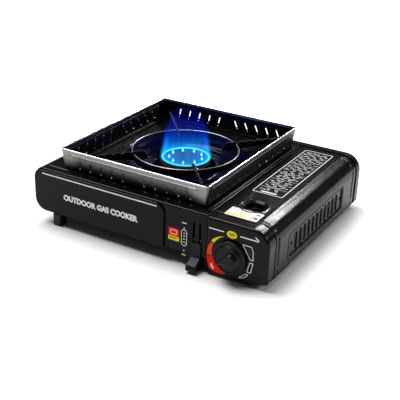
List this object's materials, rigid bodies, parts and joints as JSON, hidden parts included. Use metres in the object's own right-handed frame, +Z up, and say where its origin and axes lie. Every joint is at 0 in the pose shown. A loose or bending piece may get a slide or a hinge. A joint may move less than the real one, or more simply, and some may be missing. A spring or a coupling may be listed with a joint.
{
  "type": "camping stove",
  "caption": "Low rectangular gas camping stove with a round burner, pot support and square wind shield beside a lidded cartridge bay with a control knob.",
  "frame": {"origin": "on the table under the middle of the whole stove, knob included", "axes": "+X to the cartridge side, +Y to the back, away from the knob, +Z up"},
  "size_m": [0.34, 0.298, 0.1044],
  "materials": {
    "black_enamel": "satin black stoved paint on pressed steel",
    "pan_enamel": "glossy black vitreous enamel",
    "shield_steel": "bare steel browned towards the foot, glossy dark enamel inside",
    "bright_steel": "bright plated steel",
    "plain_steel": "zinc plated pressed steel",
    "cast_alloy": "die cast, slightly rough",
    "brass": "machined",
    "ceramic": "glazed white ceramic",
    "wire_cover": "silicone covered wire",
    "black_plastic": "fine grained moulding",
    "foot_plastic": "moulded",
    "pad_rubber": "matt"
  },
  "bodies": {
    "casing": {"base_pan": "black_enamel", "burner_cover": "black_enamel", "front_wall": "black_enamel", "front_panel": "black_enamel", "control_panel": "black_enamel", "rear_panel": "black_enamel", "partition": "plain_steel", "hinge_bracket_front": "plain_steel", "hinge_pin_front": "bright_steel", "hinge_bracket_rear": "plain_steel", "hinge_pin_rear": "bright_steel", "valve_body": "brass", "regulator_body": "cast_alloy", "regulator_cap": "plain_steel", "gas_inlet": "brass", "gas_jet": "brass", "regulator_bracket": "plain_steel", "cartridge_guide": "plain_steel", "mixing_tube": "plain_steel", "burner_head": "cast_alloy", "burner_cap": "cast_alloy", "burner_bracket": "plain_steel", "heat_plate": "brass", "igniter_body": "black_plastic", "electrode_insulator": "ceramic", "spark_electrode": "bright_steel", "electrode_bracket": "plain_steel", "ignition_wire": "wire_cover", "foot_left_front": "foot_plastic", "pad_right_front": "pad_rubber", "foot_left_rear": "foot_plastic", "pad_right_rear": "pad_rubber", "burner_screw_front": "bright_steel", "burner_screw_rear": "bright_steel", "regulator_screw_left": "bright_steel", "regulator_screw_right": "bright_steel"},
    "lid": {"cartridge_lid": "black_enamel"},
    "knob": {"control_knob": "black_plastic", "valve_shaft": "brass"},
    "lock_lever": {"thumb_lever": "black_plastic", "lever_slider": "plain_steel"},
    "carriage": {"cartridge_carriage": "plain_steel"},
    "drip_pan": {"drip_pan": "pan_enamel"},
    "pot_support": {"pot_support": "pan_enamel"},
    "wind_shield": {"wind_shield": "shield_steel"}
  },
  "joints": [
    {"name": "lid_hinge", "type": "hinge", "parent": "casing", "child": "lid", "pos_m": [0.1663, 0.008, 0.0145], "axis": [0, 1, 0], "range_deg": [0, 90]},
    {"name": "knob_turn", "type": "hinge", "parent": "casing", "child": "knob", "pos_m": [0.1215, -0.132, 0.033], "axis": [0, -1, 0], "range_deg": [-124, 16]},
    {"name": "lever_slide", "type": "slide", "parent": "casing", "child": "lock_lever", "axis": [0, 0, 1], "range_m": [0, 0.024]},
    {"name": "carriage_slide", "type": "slide", "parent": "casing", "child": "carriage", "axis": [0, 1, 0], "range_m": [0, 0.006]},
    {"name": "drip_pan_lift", "type": "slide", "parent": "casing", "child": "drip_pan", "axis": [0, 0, 1], "range_m": [0, 0.06]},
    {"name": "pot_support_lift", "type": "slide", "parent": "drip_pan", "child": "pot_support", "axis": [0, 0, 1], "range_m": [0, 0.06]},
    {"name": "wind_shield_lift", "type": "slide", "parent": "drip_pan", "child": "wind_shield", "axis": [0, 0, 1], "range_m": [0, 0.06]}
  ],
  "couplings": [
    {"joint": "carriage_slide", "follows": "lever_slide", "ratio": 0.25}
  ]
}
